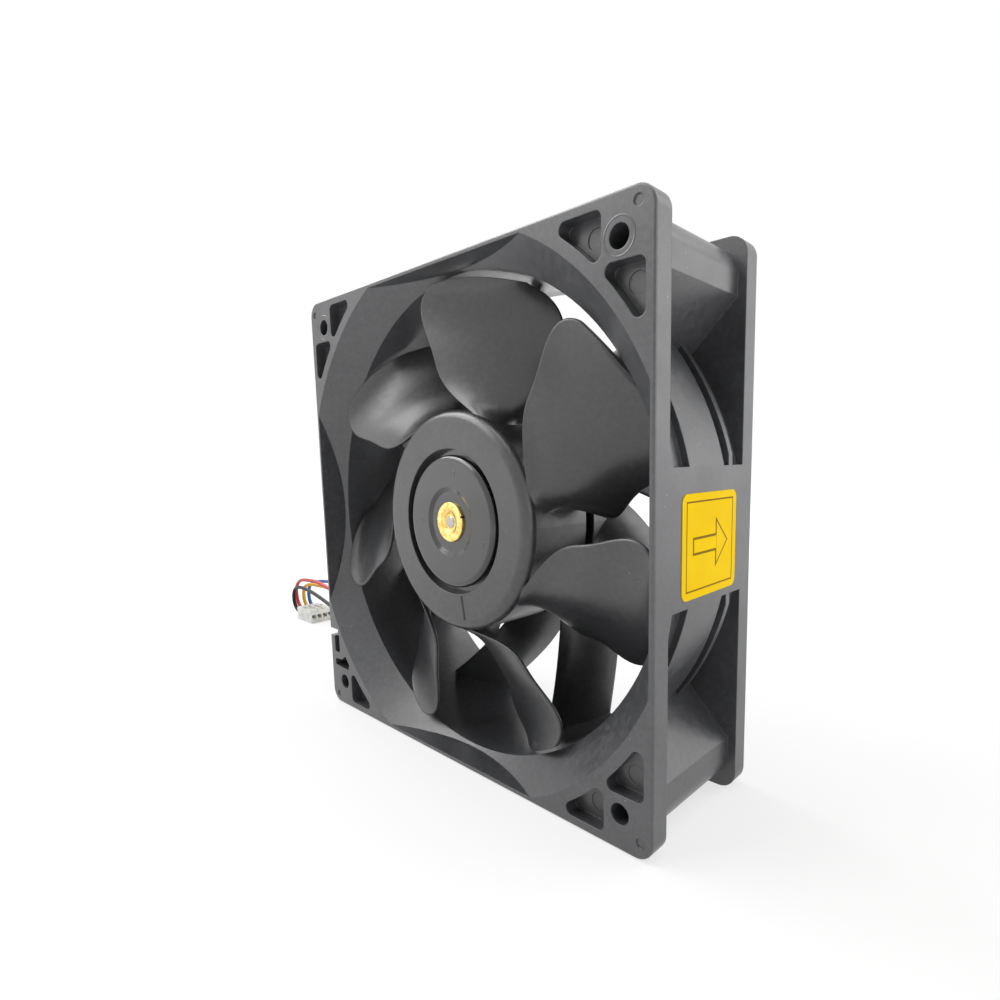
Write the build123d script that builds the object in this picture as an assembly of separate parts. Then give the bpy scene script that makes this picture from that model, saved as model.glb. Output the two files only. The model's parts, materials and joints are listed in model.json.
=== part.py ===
from build123d import *
import os
from math import atan2, cos, degrees, hypot, radians, sin, sqrt

# Axial cooling fan, 120 x 120 x 38 mm, with outlet guide vanes and a ball-bearing motor.
# Millimetres. The rotor turns about Y. The intake faces -Y, the outlet faces +Y, Z is up,
# and the origin is on the rotor axis at mid-thickness.
# Angles are counted from +X towards +Z, which is counter-clockwise seen from the intake.

# Frame
SIDE = 120.0
DEPTH = 38.0
FRONT_FLANGE = 4.7
REAR_FLANGE = 4.8
CORNER_R = 4.0
EDGE_R = 0.5
HOLE_INSET = 7.5
HOLE_R = 2.15
SIDE_WALL = 1.7
DUCT_WALL = 1.7
BELL_FLARE = 7.0
BELL_DEPTH = 7.4
RIM_WALL = 1.1
OUTLET_CHAMFER = 0.8
BAND_HEIGHT = 1.5
BAND_INSET = 6.8
RIB_HEIGHT = 2.0
RIB_WIDTH = 1.5
RIB_INSET = 4.7
RIB_GROOVE = 2.0
PAD_HALF = 13.4
POST_WIDTH = 14.3
POST_INSET = 2.0

# Lightening pockets beside the mounting holes, on the intake face
POCKET_DEPTH = 3.0
POCKET_INSET = 2.0
POCKET_HOLE_GAP = 3.9
POCKET_LAND = 2.5
POCKET_FILLET = 1.5
EJECTOR_R = 2.0
EJECTOR_DEPTH = 0.2
EJECTOR_INSET = (3.6, 3.4)
CORNER_MARK_R = 1.0
CORNER_MARK = (3.5, 2.7)
CORNER_MARK_DEPTH = 0.25

# Cable hook, window and notch at one corner, counted from that corner
HOOK = [(2.5, 13.8), (6.4, 14.1), (8.4, 15.6), (10.6, 13.2), (9.8, 11.4), (2.3, 11.8)]
WINDOW_POS = (3.9, 18.8)
WINDOW_SIZE = (2.8, 5.6)
NOTCH_POS = 22.1
NOTCH_SIZE = (4.8, 2.4)

# Motor base and guide vanes at the outlet
BASE_R = 27.0
BASE_WALL = 2.0
BASE_FLOOR = 2.0
BASE_GAP = 2.6
BASE_EDGE_R = 1.0
FACE_RECESS_R = 23.5
FACE_RECESS = 0.4
VANE_COUNT = 9
VANE_ANGLE = 20.0
VANE_TIP_SETBACK = 0.4
VANE_NOSE = 0.9
VANE_BELLY = 1.2
VANE_TAIL = 0.7
VANE_BEND = (0.68, 0.23)

# Impeller
HUB_R = 26.8
HUB_SETBACK = 2.2
HUB_CLEAR = 16.6
HUB_WALL = 2.0
HUB_EDGE_R = 2.6
HUB_MOUTH_R = 17.6
TICK_ANGLE = -80.0
TICK_LENGTH = 6.0
TICK_WIDTH = 0.5
TICK_HEIGHT = 0.25
TIP_GAP = 1.1
BLADE_COUNT = 7
BLADE_ANGLE = 27.0
BLADE_SETBACK = 2.5
BLADE_RUNOUT = 0.4
BLADE_NOSE = 0.6
BLADE_BELLY = 1.3
BLADE_TAIL = 0.45

# Rotor yoke, magnet and boss
YOKE_WALL = 1.5
YOKE_SHORT = 1.2
YOKE_FACE_R = 16.1
YOKE_PROUD = 0.2
YOKE_STEP_R = 8.5
YOKE_STEP = 0.6
MAGNET_WALL = 2.6
MAGNET_INSET = 0.7
AIR_GAP = 0.6
BOSS_FLANGE_R = 4.83
BOSS_NECK_R = 3.4
BOSS_TAIL_R = 4.2
BOSS_PROUD = 0.7
BOSS_TAIL = 1.7

# Shaft and ball bearings
SHAFT_R = 1.5
SHAFT_INSET = 0.1
SHAFT_END_GAP = 1.0
SHAFT_CHAMFER = 0.25
CLIP_R = 3.0
CLIP_THICK = 0.4
CLIP_GROOVE = 0.4
BEARING_R = 4.0
BEARING_LENGTH = 4.0
FRONT_BEARING_INSET = 0.8
REAR_BEARING_INSET = 2.2
BALL_R = 0.79
BALL_COUNT = 7
BALL_PLAY = 0.03
INNER_RACE_R = 2.25
OUTER_RACE_R = 3.25
CAGE_WALL = 0.5
CAGE_OFFSET = 0.9
CAGE_THICK = 0.4
SHIELD_THICK = 0.15
SHIELD_INSET = 0.1
SHIELD_GAP = 0.1

# Stator
TUBE_R = 6.0
TUBE_INSET = 4.6
TUBE_SEAT = 1.0
TUBE_END = 1.4
TUBE_SHOULDER = 0.6
WASHER_THICK = 0.8
SLOT_COUNT = 6
CORE_INSET = 2.8
CORE_SHORT = 1.4
CORE_RING_R = 9.5
TOOTH_WIDTH = 6.0
TOOTH_TIP = 1.5
TOOTH_GAP = 3.0
INSULATOR = 0.8
COIL_THICK = 1.8
COIL_GAP = 0.05
COIL_IN = 1.0
COIL_OUT = 0.7

# Circuit board
BOARD_INSET = 1.4
BOARD_THICK = 1.6
BOARD_EDGE_GAP = 1.3
BOARD_SEAT = 0.9
BOARD_HOLE_GAP = 0.05
PIN_R = 0.3
PIN_CIRCLE_R = 8.6
PIN_PROUD = 0.6
CHIP_INSET = 7.2
CAPACITOR_INSET = 6.7

# Leads and their channel
LEAD_R = 0.8
LEAD_PITCH = 1.75
LEAD_COUNT = 4
CHANNEL_WALL = 1.2
CHANNEL_DEPTH = 3.8
CHANNEL_IN = -134.0
CHANNEL_OUT = -146.0
LEAD_PLAY = 0.05
TAB_SPOTS = (7.0, 19.0)
TAB_LENGTH = 3.5
TAB_REACH = 4.0
TAB_THICK = 1.2
TAB_GAP = 0.3
CHANNEL_OVERRUN = 12.0
LEAD_EXIT = 1.5
LEAD_STRAIGHT = 14.0
LEAD_INNER = 4.7
LEAD_BEND = 2.4
SOLDER_HEIGHT = 1.2

# Connector on the leads, lying on the surface that the fan stands on
WAY_PITCH = 2.54
PLUG_WIDTH = 10.4
PLUG_HEIGHT = 5.9
PLUG_LENGTH = 14.0
PLUG_WALL_X = -163.0
PLUG_Y = 20.5
CAVITY = 1.9
PLUG_RIB = 0.7
PLUG_RIB_LENGTH = 9.0

# Side sticker
STICKER_WIDTH = 21.4
STICKER_HEIGHT = 20.2
STICKER_POS = (0.7, -1.7)
STICKER_THICK = 0.12
STICKER_CORNER = 1.8

# Worked out from the sizes above
FRONT = -DEPTH / 2
BACK = DEPTH / 2
FLANGE_IN = FRONT + FRONT_FLANGE
FLANGE_OUT = BACK - REAR_FLANGE
HALF_SPACING = SIDE / 2 - HOLE_INSET
DUCT_R = SIDE / 2 - SIDE_WALL
RING_R = DUCT_R + DUCT_WALL
BELL_R = DUCT_R + BELL_FLARE
BAND_FRONT = FLANGE_IN + BAND_INSET
RIB_BACK = FLANGE_OUT - RIB_INSET
RIB_FRONT = RIB_BACK - RIB_WIDTH
BAND_BACK = RIB_FRONT - RIB_GROOVE
TIP_R = DUCT_R - TIP_GAP
HUB_FRONT = FRONT + HUB_SETBACK
HUB_BACK = BACK - HUB_CLEAR
BLADE_FRONT = HUB_FRONT + BLADE_SETBACK
BLADE_BACK = HUB_BACK - BLADE_RUNOUT
BASE_FRONT = HUB_BACK + BASE_GAP
BASE_BORE_R = BASE_R - BASE_WALL
YOKE_R = HUB_R - HUB_WALL
YOKE_FACE = HUB_FRONT - YOKE_PROUD
YOKE_SHOULDER = HUB_FRONT + HUB_WALL
YOKE_BACK = HUB_BACK - YOKE_SHORT
STEP_FACE = YOKE_FACE + YOKE_STEP
MAGNET_R = YOKE_R - YOKE_WALL
MAGNET_FRONT = YOKE_SHOULDER + YOKE_WALL + MAGNET_INSET
MAGNET_BACK = YOKE_BACK - AIR_GAP
STATOR_R = MAGNET_R - MAGNET_WALL - AIR_GAP
CORE_FRONT = MAGNET_FRONT + CORE_INSET
CORE_BACK = MAGNET_BACK - CORE_SHORT
TUBE_FRONT = HUB_FRONT + TUBE_INSET
TUBE_BACK = BACK - BASE_FLOOR - TUBE_SEAT
SHAFT_FRONT = YOKE_FACE + SHAFT_INSET
SHAFT_BACK = TUBE_BACK - TUBE_END - SHAFT_END_GAP
FRONT_BEARING = TUBE_FRONT + FRONT_BEARING_INSET + BEARING_LENGTH / 2
REAR_BEARING = SHAFT_BACK - REAR_BEARING_INSET - BEARING_LENGTH / 2
BEARING_BACK = REAR_BEARING + BEARING_LENGTH / 2
PITCH_R = (INNER_RACE_R + OUTER_RACE_R) / 2
BOARD_R = BASE_BORE_R - BOARD_EDGE_GAP
BOARD_FRONT = BASE_FRONT + BOARD_INSET
BOARD_BACK = BOARD_FRONT + BOARD_THICK
FLOOR = -SIDE / 2
CHANNEL_FRONT = FLANGE_OUT - CHANNEL_DEPTH
LEAD_OFFSETS = [LEAD_PITCH * (k - (LEAD_COUNT - 1) / 2) for k in range(LEAD_COUNT)]
LEAD_Y = CHANNEL_FRONT + CHANNEL_WALL + LEAD_R + LEAD_PLAY
SOLDER_BACK = BOARD_BACK + SOLDER_HEIGHT


def seen_from_intake(y):
    """A plane across the fan: its x is X, its y is Z, and it faces the intake."""
    return Plane(origin=(0, y, 0), x_dir=(1, 0, 0), z_dir=(0, -1, 0))


def slab(sketch, front, back):
    """The sketch, drawn as seen from the intake, filled from front to back along the axis."""
    return extrude(seen_from_intake(back) * sketch, amount=back - front)


def turned(*points):
    """A solid of revolution about the fan axis from (radius, y) points."""
    return revolve(make_face(Polyline(*points, close=True)), Axis.Y)


def turn(angle):
    """A turn about the fan axis, counted as the angles are."""
    return Rot(0, -angle, 0)


def ring(outer, inner, front, back):
    return slab(Circle(outer) - Circle(inner), front, back)


def around(shape, count, first=0.0):
    return [turn(first + 360 / count * k) * shape for k in range(count)]


def rounded(face, radius, *spots):
    """Rounds the corners of a flat face that lie nearest the given spots."""
    corners = [
        min(face.vertices(), key=lambda v: hypot(v.X - x, v.Y - y)) for x, y in spots
    ]
    return fillet(corners, radius)


def unit(vector):
    return vector / vector.length


def aerofoil(nose, bend, tail, thickness):
    """A section on its mean line, from nose to tail: x is along the row, y along the axis.

    thickness is half the thickness at the nose, at the bend and at the tail."""
    nose, bend, tail = Vector(*nose), Vector(*bend), Vector(*tail)
    nose_half, bend_half, tail_half = thickness
    entry = unit(bend - nose)
    leave = unit(tail - bend)
    chord = unit(tail - nose)
    side_in = Vector(-entry.Y, entry.X) * nose_half
    side_mid = Vector(-chord.Y, chord.X) * bend_half
    side_out = Vector(-leave.Y, leave.X) * tail_half
    upper = Bezier(nose + side_in, bend + side_mid, tail + side_out)
    rear = ThreePointArc(tail + side_out, tail + leave * tail_half, tail - side_out)
    lower = Bezier(tail - side_out, bend - side_mid, nose - side_in)
    front = ThreePointArc(nose - side_in, nose - entry * nose_half, nose + side_in)
    return make_face([upper, rear, lower, front])


def station(distance):
    """The plane of a blade or vane section that far from the axis."""
    return Plane(origin=(distance, 0, 0), x_dir=(0, 0, 1), z_dir=(-1, 0, 0))


def between(start, end, part):
    return start + (end - start) * part


def guide_vane():
    """One curved vane from the motor base to the duct, swept like the real one.

    Each station has its share of the span, its leading edge and its trailing edge."""
    stations = [
        (-0.12, 5.6, 12.0),
        (0.22, -1.6, 8.2),
        (0.58, -10.5, 0.9),
        (1.03, -24.0, -10.3),
    ]
    nose_y = BASE_FRONT
    tail_y = BACK - VANE_TIP_SETBACK - VANE_TAIL
    sections = []
    for share, nose_t, tail_t in stations:
        nose = (nose_t, nose_y + VANE_NOSE)
        tail = (tail_t, tail_y)
        bend = (
            between(nose[0], tail[0], VANE_BEND[0]),
            between(nose[1], tail[1], VANE_BEND[1]),
        )
        outline = aerofoil(nose, bend, tail, (VANE_NOSE, VANE_BELLY, VANE_TAIL))
        sections.append(station(between(BASE_R, DUCT_R, share)) * outline)
    band = ring(DUCT_R + DUCT_WALL / 2, BASE_R - BASE_WALL / 2, FLANGE_IN, BACK)
    return loft(sections) & band


def channel_frame():
    """Origin and direction of the lead channel, from the motor base out to the duct."""
    start = Vector(cos(radians(CHANNEL_IN)), 0, sin(radians(CHANNEL_IN))) * BASE_R
    end = Vector(cos(radians(CHANNEL_OUT)), 0, sin(radians(CHANNEL_OUT))) * DUCT_R
    return start, unit(end - start)


def along_channel(distance, across, y):
    """A point that far along the lead channel and that far beside its centre line."""
    start, run = channel_frame()
    side = Vector(run.Z, 0, -run.X)
    point = start + run * distance + side * across
    return Vector(point.X, y, point.Z)


def channel_reach():
    """How far along the channel its middle meets the plane of the frame's left side."""
    start, run = channel_frame()
    return (-SIDE / 2 - start.X) / run.X


def channel_box(near, far, width, front, back):
    """A block along the lead channel."""
    start, run = channel_frame()
    block = Box(far - near, back - front, width)
    middle = start + run * ((near + far) / 2)
    angle = degrees(atan2(run.Z, run.X))
    return Pos(middle.X, (front + back) / 2, middle.Z) * turn(angle) * block


def channel_tabs(inner_width):
    """Two tabs, one from each wall, that keep the leads in their channel."""
    front = LEAD_Y + LEAD_R + TAB_GAP
    length = TAB_REACH + CHANNEL_WALL / 2
    offset = (inner_width + CHANNEL_WALL - length) / 2
    tabs = []
    for near, side in zip(TAB_SPOTS, (-1, 1)):
        spot = along_channel(0, side * offset, 0)
        middle = along_channel(0, 0, 0)
        tab = channel_box(near, near + TAB_LENGTH, length, front, front + TAB_THICK)
        tabs.append(Pos(spot.X - middle.X, 0, spot.Z - middle.Z) * tab)
    return tabs


def corner_pocket():
    """One pocket of the pair in the upper right corner, drawn as seen from the intake."""
    edge = SIDE / 2 - POCKET_INSET
    end = HALF_SPACING - POCKET_HOLE_GAP
    block = Rectangle(edge, end, align=(Align.MAX, Align.MAX))
    outline = Pos(edge, end) * block - Circle(BELL_R + POCKET_LAND)
    return fillet(outline.vertices(), POCKET_FILLET)


def flange_features():
    """What is cut from the intake face: pockets, their ejector marks and the lead hook."""
    half = SIDE / 2
    floor = FRONT + POCKET_DEPTH
    pocket = corner_pocket()
    mark_x = half - POCKET_INSET - EJECTOR_INSET[0]
    mark_z = HALF_SPACING - POCKET_HOLE_GAP - EJECTOR_INSET[1]
    mark = Pos(mark_x, mark_z) * Circle(EJECTOR_R)
    twin = mirror(pocket, Plane((0, 0, 0), z_dir=(1, -1, 0)))
    twin_mark = Pos(mark_z, mark_x) * Circle(EJECTOR_R)
    corner_mark = Pos(half - CORNER_MARK[0], half - CORNER_MARK[1]) * Circle(CORNER_MARK_R)
    cuts = []
    for corner in range(4):
        spin = Rot(0, 0, 90 * corner)
        if corner != 2:
            cuts.append(slab(spin * pocket, FRONT - 1, floor))
            cuts.append(slab(spin * mark, FRONT - 1, floor + EJECTOR_DEPTH))
        cuts.append(slab(spin * twin, FRONT - 1, floor))
        cuts.append(slab(spin * twin_mark, FRONT - 1, floor + EJECTOR_DEPTH))
        cuts.append(slab(spin * corner_mark, FRONT - 1, FRONT + CORNER_MARK_DEPTH))
    hook = make_face(Polyline(*[(x - half, z - half) for x, z in HOOK], close=True))
    hook = fillet(hook.vertices(), 0.5)
    window = Pos(WINDOW_POS[0] - half, WINDOW_POS[1] - half) * RectangleRounded(*WINDOW_SIZE, 0.6)
    notch = Pos(-half, NOTCH_POS - half) * Rectangle(2 * NOTCH_SIZE[0], NOTCH_SIZE[1])
    cuts.append(slab(hook, FRONT - 1, floor))
    cuts.append(slab(window + notch, FRONT - 1, FLANGE_IN + 1))
    return cuts


def frame_shell():
    """The two flanges, the ring between them, its flats and the corner posts."""
    square = RectangleRounded(SIDE, SIDE, CORNER_R)
    front = slab(square, FRONT, FLANGE_IN)
    front = fillet(front.faces().sort_by(Axis.Y)[0].edges(), EDGE_R)
    back = slab(square, FLANGE_OUT, BACK)
    back = fillet(back.faces().sort_by(Axis.Y)[-1].edges(), EDGE_R)
    core_r = DUCT_R - 4
    flare = BELL_FLARE / BELL_DEPTH
    flare_end = FRONT + BELL_DEPTH
    outline = [
        (core_r, FLANGE_IN - 1),
        (RING_R + flare * (flare_end - FLANGE_IN + 1), FLANGE_IN - 1),
        (RING_R, flare_end),
        (RING_R, BAND_FRONT),
        (RING_R + BAND_HEIGHT, BAND_FRONT),
        (RING_R + BAND_HEIGHT, BAND_BACK),
        (RING_R, BAND_BACK),
        (RING_R, RIB_FRONT),
        (RING_R + RIB_HEIGHT, RIB_FRONT),
        (RING_R + RIB_HEIGHT, RIB_BACK),
        (RING_R, RIB_BACK),
        (RING_R, FLANGE_OUT + 1),
        (core_r, FLANGE_OUT + 1),
    ]
    between_flanges = FLANGE_OUT - FLANGE_IN
    middle = (FLANGE_OUT + FLANGE_IN) / 2
    barrel = turned(*outline) & Pos(0, middle, 0) * Box(SIDE, between_flanges + 1, SIDE)
    pad = Pos(SIDE / 2 - 4, middle, 0) * Box(8, between_flanges + 0.5, 2 * PAD_HALF)
    post_square = RectangleRounded(
        SIDE - 2 * POST_INSET,
        SIDE - 2 * POST_INSET,
        HOLE_INSET - POST_INSET,
    )
    reach = SIDE * 0.75
    strip = Rot(0, 0, 45) * Pos(RING_R + reach / 2 - 2, 0) * Rectangle(reach, POST_WIDTH)
    posts = Sketch() + [Rot(0, 0, 90 * k) * (post_square & strip) for k in range(4)]
    shell = front + back + barrel
    shell += around(pad, 4)
    shell += slab(posts, FLANGE_IN - 0.5, FLANGE_OUT + 0.5)
    return shell


def inlet_and_duct():
    """The straight duct and the bell mouth, which stops short of the frame's sides."""
    slope = BELL_FLARE / BELL_DEPTH
    bell = turned(
        (0, FRONT - 1),
        (BELL_R + slope, FRONT - 1),
        (DUCT_R, FRONT + BELL_DEPTH),
        (0, FRONT + BELL_DEPTH),
    )
    inside = SIDE - 2 * RIM_WALL
    bell &= Pos(0, FRONT, 0) * Box(inside, 4 * BELL_DEPTH, inside)
    outlet = turned(
        (0, BACK - OUTLET_CHAMFER),
        (DUCT_R, BACK - OUTLET_CHAMFER),
        (DUCT_R + 2 * OUTLET_CHAMFER, BACK + OUTLET_CHAMFER),
        (0, BACK + OUTLET_CHAMFER),
    )
    return bell + slab(Circle(DUCT_R), FRONT, BACK) + outlet


def motor_base():
    """The cup that holds the board and the bearing tube, closed at the outlet."""
    floor_y = BACK - BASE_FLOOR
    boss_r = TUBE_R + BOARD_SEAT
    seat_r = boss_r + BOARD_SEAT
    profile = make_face(
        Polyline(
            (0, BACK),
            (BASE_R, BACK),
            (BASE_R, BASE_FRONT),
            (BASE_BORE_R, BASE_FRONT),
            (BASE_BORE_R, floor_y),
            (seat_r, floor_y),
            (seat_r, BOARD_BACK),
            (boss_r, BOARD_BACK),
            (boss_r, BASE_FRONT),
            (TUBE_R, BASE_FRONT),
            (TUBE_R, TUBE_BACK),
            (0, TUBE_BACK),
            close=True,
        )
    )
    profile = rounded(profile, BASE_EDGE_R, (BASE_R, BACK))
    cup = revolve(profile, Axis.Y)
    return cup - slab(Circle(FACE_RECESS_R), BACK - FACE_RECESS, BACK + 1)


def housing():
    inner_width = LEAD_COUNT * LEAD_PITCH + 2 * LEAD_PLAY
    outer_width = inner_width + 2 * CHANNEL_WALL
    floor_y = CHANNEL_FRONT + CHANNEL_WALL
    reach = channel_reach() + CHANNEL_OVERRUN
    body = frame_shell() - inlet_and_duct()
    body += motor_base()
    body += around(guide_vane(), VANE_COUNT, VANE_ANGLE)
    bore = slab(Circle(DUCT_R + DUCT_WALL / 2) - Circle(BASE_BORE_R + 0.5), FLANGE_IN, BACK)
    start = -BASE_WALL - LEAD_INNER - 2 * LEAD_R
    body += channel_box(-BASE_WALL, reach, outer_width, CHANNEL_FRONT, BACK) & bore
    open_part = ring(DUCT_R, BASE_R, FLANGE_IN, BACK + 1)
    body -= channel_box(-BASE_WALL, reach, inner_width, floor_y, BACK + 1) & open_part
    body -= channel_box(start, reach, inner_width, floor_y, FLANGE_OUT)
    body += channel_tabs(inner_width)
    body -= flange_features()
    for x in (-HALF_SPACING, HALF_SPACING):
        for z in (-HALF_SPACING, HALF_SPACING):
            body -= slab(Pos(x, z) * Circle(HOLE_R), FRONT - 1, BACK + 1)
    return body


def blade():
    """One blade, swept forwards, with rounded tip corners.

    Each station has its share of the span, and how far round and how far from the
    blade's front and back planes its leading and trailing edges are."""
    stations = [
        (-0.16, -2.2, 0.0, -13.0, 0.0),
        (0.11, 6.8, 0.0, -13.3, 0.0),
        (0.37, 14.6, 0.0, -12.8, 0.0),
        (0.63, 20.4, 0.1, -11.7, 0.2),
        (0.79, 21.0, 0.2, -10.4, 0.8),
        (0.89, 18.6, 0.4, -8.0, 1.8),
        (0.96, 14.2, 1.0, -4.6, 3.4),
        (1.04, 7.6, 2.9, -1.0, 6.2),
    ]
    sections = []
    for share, nose_t, nose_in, tail_t, tail_in in stations:
        nose_y = BLADE_FRONT + nose_in
        tail_y = BLADE_BACK - tail_in
        bend = (
            between(nose_t, tail_t, 0.74 - 0.24 * share),
            between(nose_y, tail_y, 0.10 + 0.62 * share - 0.33 * share**2),
        )
        belly = between(BLADE_BELLY, BLADE_BELLY * 0.7, share)
        thickness = (BLADE_NOSE, belly, BLADE_TAIL)
        outline = aerofoil((nose_t, nose_y), bend, (tail_t, tail_y), thickness)
        sections.append(station(between(HUB_R, TIP_R, share)) * outline)
    band = ring(TIP_R, HUB_R - HUB_WALL / 2, FRONT, BACK)
    return loft(sections) & band


def impeller():
    profile = make_face(
        Polyline(
            (HUB_MOUTH_R, HUB_FRONT),
            (HUB_R, HUB_FRONT),
            (HUB_R, HUB_BACK),
            (YOKE_R, HUB_BACK),
            (YOKE_R, YOKE_SHOULDER),
            (HUB_MOUTH_R, YOKE_SHOULDER),
            close=True,
        )
    )
    profile = rounded(profile, HUB_EDGE_R, (HUB_R, HUB_FRONT))
    hub = revolve(profile, Axis.Y)
    tick_x = (HUB_MOUTH_R + HUB_R - HUB_EDGE_R) / 2
    tick = Pos(tick_x, HUB_FRONT, 0) * Box(TICK_LENGTH, 2 * TICK_HEIGHT, TICK_WIDTH)
    hub += turn(TICK_ANGLE) * tick
    return hub + around(blade(), BLADE_COUNT, BLADE_ANGLE)


def rotor_yoke():
    """A deep-drawn steel cup with a raised front face that shows in the hub's mouth."""
    plate = YOKE_FACE + YOKE_WALL
    step_in = YOKE_STEP_R - 1.1
    profile = make_face(
        Polyline(
            (YOKE_R, YOKE_BACK),
            (YOKE_R, YOKE_SHOULDER),
            (YOKE_FACE_R, YOKE_SHOULDER),
            (YOKE_FACE_R, YOKE_FACE),
            (YOKE_STEP_R, YOKE_FACE),
            (step_in, STEP_FACE),
            (BOSS_NECK_R, STEP_FACE),
            (BOSS_NECK_R, STEP_FACE + YOKE_WALL),
            (step_in + 0.3, STEP_FACE + YOKE_WALL),
            (YOKE_STEP_R + 0.4, plate),
            (YOKE_FACE_R - YOKE_WALL, plate),
            (YOKE_FACE_R - YOKE_WALL, YOKE_SHOULDER + YOKE_WALL),
            (MAGNET_R, YOKE_SHOULDER + YOKE_WALL),
            (MAGNET_R, YOKE_BACK),
            close=True,
        )
    )
    profile = rounded(profile, 1.3, (YOKE_FACE_R, YOKE_FACE))
    profile = rounded(profile, 0.8, (YOKE_R, YOKE_SHOULDER))
    return revolve(profile, Axis.Y)


def magnet_ring():
    return ring(MAGNET_R, MAGNET_R - MAGNET_WALL, MAGNET_FRONT, MAGNET_BACK)


def rotor_boss():
    """The brass boss that joins the yoke to the shaft, staked at the front."""
    front = STEP_FACE - BOSS_PROUD
    neck_back = STEP_FACE + YOKE_WALL
    profile = make_face(
        Polyline(
            (SHAFT_R, front + 0.5),
            (SHAFT_R + 0.5, front + 0.5),
            (SHAFT_R + 0.9, front),
            (BOSS_FLANGE_R, front),
            (BOSS_FLANGE_R, STEP_FACE),
            (BOSS_NECK_R, STEP_FACE),
            (BOSS_NECK_R, neck_back),
            (BOSS_TAIL_R, neck_back),
            (BOSS_TAIL_R, neck_back + BOSS_TAIL),
            (SHAFT_R, neck_back + BOSS_TAIL),
            close=True,
        )
    )
    profile = rounded(profile, 0.3, (BOSS_FLANGE_R, front))
    return revolve(profile, Axis.Y)


def shaft():
    groove = BEARING_BACK
    return turned(
        (0, SHAFT_FRONT),
        (SHAFT_R - SHAFT_CHAMFER, SHAFT_FRONT),
        (SHAFT_R, SHAFT_FRONT + SHAFT_CHAMFER),
        (SHAFT_R, groove),
        (SHAFT_R - CLIP_GROOVE, groove),
        (SHAFT_R - CLIP_GROOVE, groove + CLIP_THICK),
        (SHAFT_R, groove + CLIP_THICK),
        (SHAFT_R, SHAFT_BACK - SHAFT_CHAMFER),
        (SHAFT_R - SHAFT_CHAMFER, SHAFT_BACK),
        (0, SHAFT_BACK),
    )


def retaining_clip():
    """The E-shaped clip that holds the shaft in the rear bearing."""
    body = Circle(CLIP_R) - Circle(SHAFT_R - CLIP_GROOVE)
    mouth = Pos(0, -CLIP_R) * Rectangle(1.6 * (SHAFT_R - CLIP_GROOVE), 2 * CLIP_R)
    return slab(body - mouth, BEARING_BACK, BEARING_BACK + CLIP_THICK)


def groove(middle):
    """The track that the balls run in, a little larger than they are."""
    return Pos(0, middle, 0) * Rot(90, 0, 0) * Torus(PITCH_R, BALL_R + BALL_PLAY)


def race(outer, inner, middle):
    half = BEARING_LENGTH / 2
    return ring(outer, inner, middle - half, middle + half) - groove(middle)


def balls(middle):
    ball = Pos(PITCH_R, middle, 0) * Sphere(BALL_R)
    return Compound(children=around(ball, BALL_COUNT))


def ball_cage(middle):
    """A crown cage: a ring beside the balls, with a finger in each gap."""
    inner = PITCH_R - CAGE_WALL / 2
    outer = PITCH_R + CAGE_WALL / 2
    side = middle + CAGE_OFFSET
    body = ring(outer, inner, side, side + CAGE_THICK)
    finger = Pos(PITCH_R, side, 0) * Box(CAGE_WALL * 0.8, 2 * CAGE_THICK, 0.5)
    body += around(finger, BALL_COUNT, 180 / BALL_COUNT)
    return body


def shields(middle):
    half = BEARING_LENGTH / 2
    inner = INNER_RACE_R + SHIELD_GAP
    pair = []
    for side in (-1, 1):
        face = middle + side * (half - SHIELD_INSET - SHIELD_THICK / 2)
        thick = SHIELD_THICK / 2
        pair.append(ring(OUTER_RACE_R, inner, face - thick, face + thick))
    return Compound(children=pair)


def bearing_tube():
    half = BEARING_LENGTH / 2
    narrow = BEARING_R - TUBE_SHOULDER
    front_seat = FRONT_BEARING + half
    rear_seat = REAR_BEARING - half - WASHER_THICK
    return turned(
        (TUBE_R, TUBE_FRONT),
        (TUBE_R, TUBE_BACK),
        (0, TUBE_BACK),
        (0, TUBE_BACK - TUBE_END),
        (BEARING_R, TUBE_BACK - TUBE_END),
        (BEARING_R, rear_seat),
        (narrow, rear_seat),
        (narrow, front_seat),
        (BEARING_R, front_seat),
        (BEARING_R, TUBE_FRONT),
    )


def preload_washer():
    back = REAR_BEARING - BEARING_LENGTH / 2
    return ring(BEARING_R - 0.1, OUTER_RACE_R, back - WASHER_THICK, back)


def core_outline(growth=0.0):
    """The stator stamping: a ring, straight teeth and curved tips."""
    tip = Circle(STATOR_R) - Circle(STATOR_R - TOOTH_TIP)
    gap = Rectangle(3 * STATOR_R, TOOTH_GAP)
    tooth = Pos(STATOR_R / 2, 0) * Rectangle(STATOR_R - 0.4, TOOTH_WIDTH + 2 * growth)
    half_slot = 180 / SLOT_COUNT
    for k in range(SLOT_COUNT // 2):
        tip -= Rot(0, 0, half_slot + 2 * half_slot * k) * gap
    outline = tip + Circle(CORE_RING_R)
    for k in range(SLOT_COUNT):
        outline += Rot(0, 0, 2 * half_slot * k) * tooth
    return outline - Circle(TUBE_R)


def insulator(front):
    outline = core_outline() - (Circle(2 * STATOR_R) - Circle(STATOR_R - 0.4))
    return slab(outline, front, front + INSULATOR)


def coil():
    """One winding round a tooth, over both insulators."""
    front = CORE_FRONT - INSULATOR - COIL_GAP
    back = CORE_BACK + INSULATOR + COIL_GAP
    near = CORE_RING_R + COIL_IN
    far = STATOR_R - TOOTH_TIP - COIL_OUT
    height = back - front
    width = TOOTH_WIDTH + 2 * COIL_GAP
    middle = Pos((near + far) / 2, (front + back) / 2, 0)
    wound = RectangleRounded(width + 2 * COIL_THICK, height + 2 * COIL_THICK, COIL_THICK)
    window = Rectangle(width, height)
    turns = extrude(Plane.YZ * Rot(0, 0, 90) * (wound - window), (far - near) / 2, both=True)
    return middle * turns


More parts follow.
